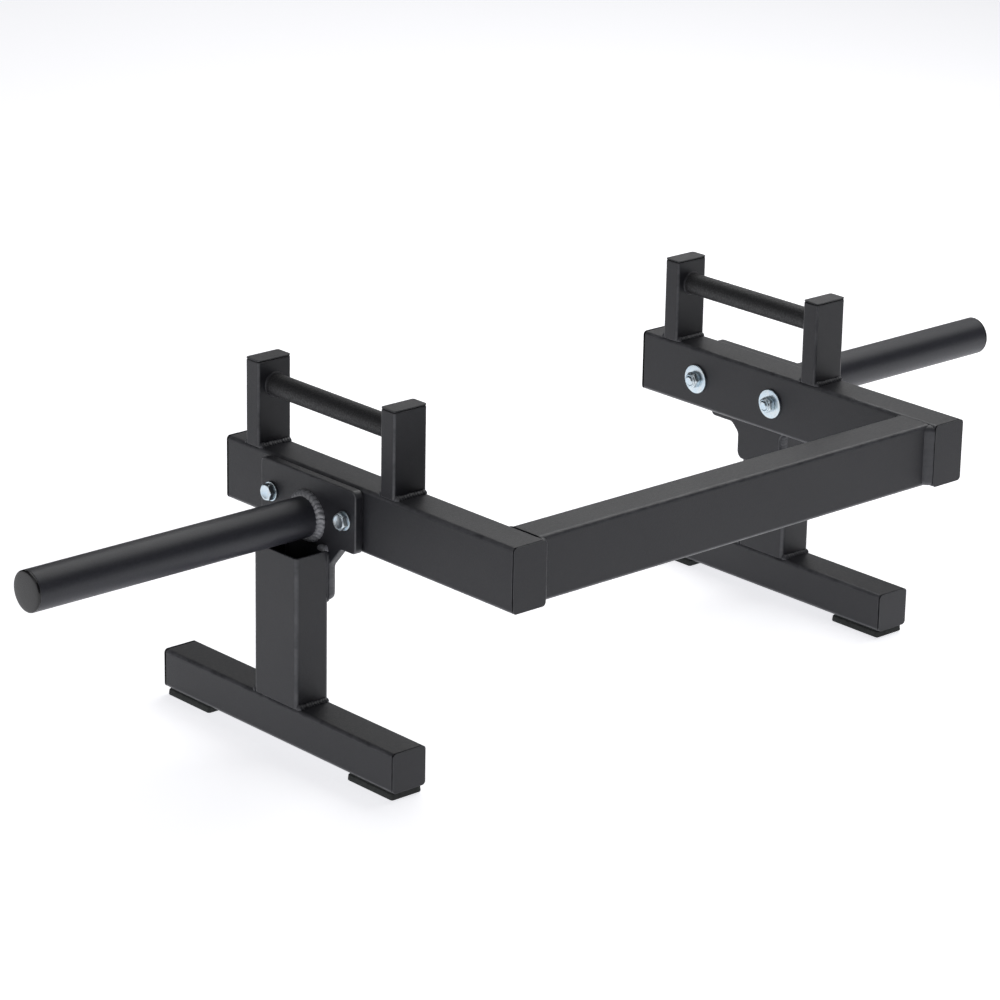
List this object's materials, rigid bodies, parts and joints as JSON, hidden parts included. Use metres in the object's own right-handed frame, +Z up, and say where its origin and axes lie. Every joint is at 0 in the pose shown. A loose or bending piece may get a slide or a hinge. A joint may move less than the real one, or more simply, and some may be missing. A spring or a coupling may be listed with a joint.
{
  "type": "parallel bars",
  "caption": "Open three-sided steel frame with parallel raised hand grips, a round plate peg on each side and bolted T-shaped stands on rubber pads.",
  "frame": {"origin": "on the floor, under the middle of the bounding box", "axes": "+X along the crossbar and the right peg, +Y along the rails from the crossbar to the open end, +Z up"},
  "size_m": [1.588, 0.569, 0.446],
  "materials": {
    "powder_coat": "fine-textured matte powder coat, charcoal black",
    "grip_coat": "coarser textured powder coat",
    "end_cap_plastic": "smooth gloss black plastic",
    "foot_rubber": "matte black rubber",
    "zinc_steel": "bright zinc plating with a bluish tint"
  },
  "bodies": {
    "root": {"crossbar": "powder_coat", "left_rail": "powder_coat", "left_rail_front_cap": "powder_coat", "left_rail_rear_cap": "powder_coat", "left_front_post": "powder_coat", "left_front_post_cap": "powder_coat", "left_rear_post": "powder_coat", "left_rear_post_cap": "powder_coat", "left_grip": "grip_coat", "left_bracket_plate": "powder_coat", "left_peg": "powder_coat", "left_peg_cap": "end_cap_plastic", "left_leg": "powder_coat", "left_foot": "powder_coat", "left_foot_front_cap": "powder_coat", "left_front_pad": "foot_rubber", "left_front_bolt": "zinc_steel", "left_front_head_washer": "zinc_steel", "left_front_nut_washer": "zinc_steel", "left_front_lock_nut": "zinc_steel", "left_foot_rear_cap": "powder_coat", "left_rear_pad": "foot_rubber", "left_rear_bolt": "zinc_steel", "left_rear_head_washer": "zinc_steel", "left_rear_nut_washer": "zinc_steel", "left_rear_lock_nut": "zinc_steel", "right_rail": "powder_coat", "right_rail_front_cap": "powder_coat", "right_rail_rear_cap": "powder_coat", "right_front_post": "powder_coat", "right_front_post_cap": "powder_coat", "right_rear_post": "powder_coat", "right_rear_post_cap": "powder_coat", "right_grip": "grip_coat", "right_bracket_plate": "powder_coat", "right_peg": "powder_coat", "right_peg_cap": "end_cap_plastic", "right_leg": "powder_coat", "right_foot": "powder_coat", "right_foot_front_cap": "powder_coat", "right_front_pad": "foot_rubber", "right_front_bolt": "zinc_steel", "right_front_head_washer": "zinc_steel", "right_front_nut_washer": "zinc_steel", "right_front_lock_nut": "zinc_steel", "right_foot_rear_cap": "powder_coat", "right_rear_pad": "foot_rubber", "right_rear_bolt": "zinc_steel", "right_rear_head_washer": "zinc_steel", "right_rear_nut_washer": "zinc_steel", "right_rear_lock_nut": "zinc_steel"}
  },
  "joints": []
}
